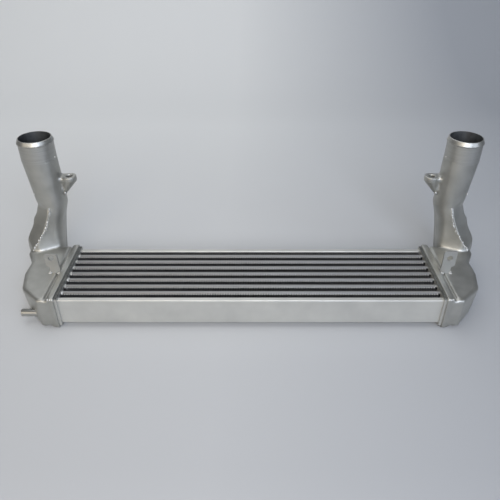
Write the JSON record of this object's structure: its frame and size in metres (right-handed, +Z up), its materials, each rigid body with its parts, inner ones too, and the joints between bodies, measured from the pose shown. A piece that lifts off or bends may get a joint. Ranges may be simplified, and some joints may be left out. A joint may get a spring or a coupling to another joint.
{
  "type": "intercooler",
  "caption": "Air-to-air charge cooler: flat-tube and fin core between two cast end tanks, each with an upright hose neck and a drilled lug.",
  "frame": {"origin": "centre of the part's footprint, at the level its flanges rest on", "axes": "+X along the core from the left tank to the right tank, +Y from the front bar towards the necks, +Z up along the necks"},
  "size_m": [0.7914, 0.2113, 0.25],
  "materials": {
    "cast_aluminium": "sand-cast aluminium, silver lacquer, satin",
    "plate_aluminium": "rolled aluminium sheet, silver lacquer, satin",
    "tube_aluminium": "brazed flat tube, mill finish",
    "fin_aluminium": "thin folded fin strip, brazed, mill finish"
  },
  "bodies": {
    "root": {"fin_row_1": "fin_aluminium", "fin_row_2": "fin_aluminium", "fin_row_3": "fin_aluminium", "fin_row_4": "fin_aluminium", "fin_row_5": "fin_aluminium", "fin_row_6": "fin_aluminium", "fin_row_7": "fin_aluminium", "fin_row_8": "fin_aluminium", "tube_1": "tube_aluminium", "tube_2": "tube_aluminium", "tube_3": "tube_aluminium", "tube_4": "tube_aluminium", "tube_5": "tube_aluminium", "tube_6": "tube_aluminium", "tube_7": "tube_aluminium", "turbulator_1": "fin_aluminium", "turbulator_2": "fin_aluminium", "turbulator_3": "fin_aluminium", "turbulator_4": "fin_aluminium", "turbulator_5": "fin_aluminium", "turbulator_6": "fin_aluminium", "turbulator_7": "fin_aluminium", "side_bar_front": "plate_aluminium", "side_bar_rear": "plate_aluminium", "header_plate_left": "plate_aluminium", "header_plate_right": "plate_aluminium", "end_tank_left": "cast_aluminium", "end_tank_right": "cast_aluminium", "drain_nipple": "cast_aluminium", "fixing_tab_left": "plate_aluminium", "fixing_tab_right": "plate_aluminium"}
  },
  "joints": []
}
